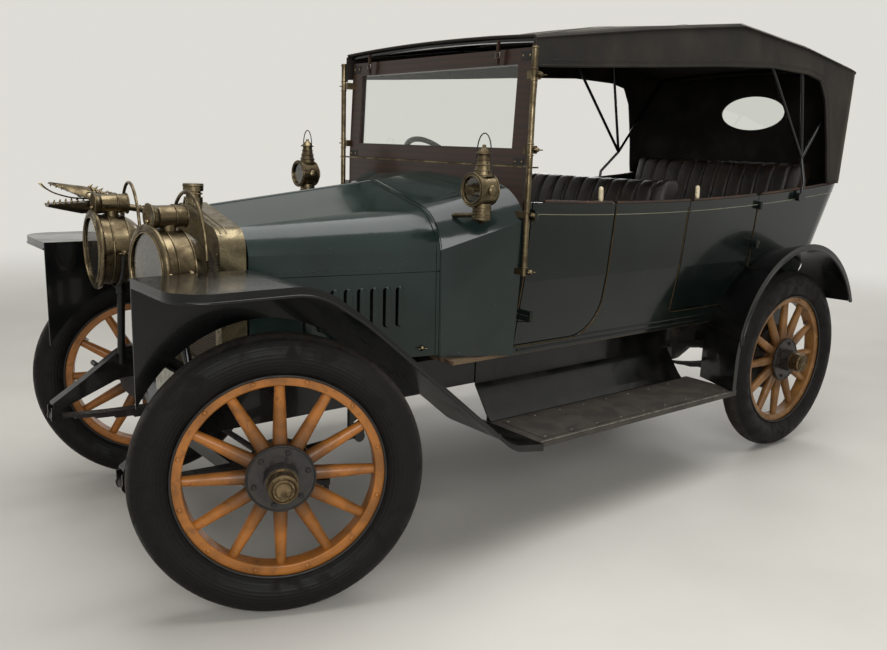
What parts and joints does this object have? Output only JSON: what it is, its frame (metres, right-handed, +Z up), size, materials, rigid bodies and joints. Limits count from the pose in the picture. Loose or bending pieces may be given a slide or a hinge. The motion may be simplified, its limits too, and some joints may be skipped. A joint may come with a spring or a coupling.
{
  "type": "brass era touring car",
  "caption": "Open touring car of about 1912 with brass radiator and lamps, wooden wheels, side doors and its folding hood up.",
  "frame": {"origin": "on the ground below the middle of the whole car", "axes": "+X forward, +Y to the car's left, +Z up"},
  "size_m": [3.7861, 1.7282, 2.015],
  "materials": {
    "tyre": "matt black rubber, worn",
    "wheel_paint": "ochre painted wood, gloss",
    "hub_metal": "black enamel with a brass cap",
    "bonnet_paint": "dark grey-green coach enamel, gloss",
    "body_paint": "very dark green coach enamel, gloss",
    "black_paint": "black enamel",
    "board_cover": "brown floor cloth on boards",
    "iron": "bare and oily",
    "core_metal": "blackened tubes and fins",
    "brass": "polished, slightly tarnished",
    "glass": "clear",
    "mahogany": "varnished mahogany",
    "floor_wood": "plain boards",
    "seat_leather": "buttoned black leather",
    "hood_cloth": "black rubbered cloth with a soft sheen"
  },
  "bodies": {
    "car": {"body_shell": "body_paint", "chassis_frame": "black_paint", "cowl": "bonnet_paint", "engine_block": "iron", "exhaust": "iron", "floor": "floor_wood", "frame_members": "black_paint", "front_axle": "black_paint", "front_fenders": "black_paint", "front_seat_back": "seat_leather", "front_seat_cushion": "seat_leather", "gearbox": "iron", "hand_levers": "brass", "headlamp_shells": "brass", "hood_canopy": "hood_cloth", "hood_irons": "black_paint", "horn": "brass", "lamp_lenses": "glass", "leaf_springs": "black_paint", "number_plate": "black_paint", "radiator_cap": "brass", "radiator_core": "core_metal", "radiator_shell": "brass", "rear_axle": "black_paint", "rear_fenders": "black_paint", "rear_seat_back": "seat_leather", "rear_seat_cushion": "seat_leather", "running_boards": "board_cover", "screen_pillars": "brass", "side_lamps": "brass", "splash_aprons": "black_paint", "starting_handle": "iron", "steering_column": "brass", "window_panes": "glass", "windscreen_apron": "mahogany", "windscreen_frame": "mahogany"},
    "front_left_road_wheel": {"wheel_front_left": "wheel_paint", "tyre_front_left": "tyre", "hub_front_left": "hub_metal"},
    "front_right_road_wheel": {"wheel_front_right": "wheel_paint", "tyre_front_right": "tyre", "hub_front_right": "hub_metal"},
    "rear_left_road_wheel": {"wheel_rear_left": "wheel_paint", "tyre_rear_left": "tyre", "hub_rear_left": "hub_metal"},
    "rear_right_road_wheel": {"wheel_rear_right": "wheel_paint", "tyre_rear_right": "tyre", "hub_rear_right": "hub_metal"},
    "left_knuckle": {"knuckle_left": "black_paint"},
    "right_knuckle": {"knuckle_right": "black_paint"},
    "steering_tie_rod": {"tie_rod": "black_paint"},
    "helm": {"steering_wheel": "mahogany"},
    "front_left_door": {"front_door_left": "body_paint"},
    "rear_left_door": {"rear_door_left": "body_paint"},
    "rear_right_door": {"rear_door_right": "body_paint"},
    "bonnet_lid_left": {"bonnet_top_left": "bonnet_paint"},
    "bonnet_flap_left": {"bonnet_side_left": "bonnet_paint"},
    "bonnet_lid_right": {"bonnet_top_right": "bonnet_paint"},
    "bonnet_flap_right": {"bonnet_side_right": "bonnet_paint"}
  },
  "joints": [
    {"name": "left_kingpin", "type": "hinge", "parent": "car", "child": "left_knuckle", "pos_m": [1.457, 0.5795, 0.44], "axis": [0, 0, 1], "range_deg": [-4, 50]},
    {"name": "right_kingpin", "type": "hinge", "parent": "car", "child": "right_knuckle", "pos_m": [1.457, -0.5795, 0.44], "axis": [0, 0, 1], "range_deg": [-4, 50]},
    {"name": "tie_rod_pin", "type": "hinge", "parent": "left_knuckle", "child": "steering_tie_rod", "pos_m": [1.31892, 0.63811, 0.325], "axis": [0, 0, 1], "range_deg": [-50, 4]},
    {"name": "steering_wheel_turn", "type": "hinge", "parent": "car", "child": "helm", "pos_m": [0.16, -0.3, 1.3], "axis": [-0.766, 0, 0.6428], "range_deg": [-32, 400]},
    {"name": "front_left_wheel_spin", "type": "hinge", "parent": "left_knuckle", "child": "front_left_road_wheel", "pos_m": [1.48943, 0.6559, 0.44], "axis": [0.3907, 0.9205, 0], "continuous": true},
    {"name": "rear_left_wheel_spin", "type": "hinge", "parent": "car", "child": "rear_left_road_wheel", "pos_m": [-1.275, 0.6625, 0.44], "axis": [0, 1, 0], "continuous": true},
    {"name": "front_right_wheel_spin", "type": "hinge", "parent": "right_knuckle", "child": "front_right_road_wheel", "pos_m": [1.42457, -0.6559, 0.44], "axis": [0.3907, 0.9205, 0], "continuous": true},
    {"name": "rear_right_wheel_spin", "type": "hinge", "parent": "car", "child": "rear_right_road_wheel", "pos_m": [-1.275, -0.6625, 0.44], "axis": [0, 1, 0], "continuous": true},
    {"name": "front_left_door_hinge", "type": "hinge", "parent": "car", "child": "front_left_door", "pos_m": [0.4605, 0.645, 0.95], "axis": [0, 0, 1], "range_deg": [-75, 0]},
    {"name": "rear_left_door_hinge", "type": "hinge", "parent": "car", "child": "rear_left_door", "pos_m": [-1.0015, 0.64, 1], "axis": [0, 0, 1], "range_deg": [0, 38]},
    {"name": "rear_right_door_hinge", "type": "hinge", "parent": "car", "child": "rear_right_door", "pos_m": [-1.0015, -0.64, 1], "axis": [0, 0, 1], "range_deg": [-38, 0]},
    {"name": "bonnet_left_hinge", "type": "hinge", "parent": "car", "child": "bonnet_lid_left", "pos_m": [1.072, 0, 1.236], "axis": [0.9923, 0, -0.1237], "range_deg": [0, 50]},
    {"name": "bonnet_left_flap_hinge", "type": "hinge", "parent": "bonnet_lid_left", "child": "bonnet_flap_left", "pos_m": [1.072, 0.3685, 0.98], "axis": [0.9812, -0.1928, 0], "range_deg": [-50, 0]},
    {"name": "bonnet_right_hinge", "type": "hinge", "parent": "car", "child": "bonnet_lid_right", "pos_m": [1.072, 0, 1.236], "axis": [0.9923, 0, -0.1237], "range_deg": [-50, 0]},
    {"name": "bonnet_right_flap_hinge", "type": "hinge", "parent": "bonnet_lid_right", "child": "bonnet_flap_right", "pos_m": [1.072, -0.3685, 0.98], "axis": [0.9812, 0.1928, 0], "range_deg": [0, 50]}
  ],
  "couplings": [
    {"joint": "right_kingpin", "follows": "left_kingpin", "ratio": 1},
    {"joint": "tie_rod_pin", "follows": "left_kingpin", "ratio": -1},
    {"joint": "steering_wheel_turn", "follows": "left_kingpin", "ratio": 8},
    {"joint": "bonnet_left_flap_hinge", "follows": "bonnet_left_hinge", "ratio": -1},
    {"joint": "bonnet_right_flap_hinge", "follows": "bonnet_right_hinge", "ratio": -1}
  ]
}
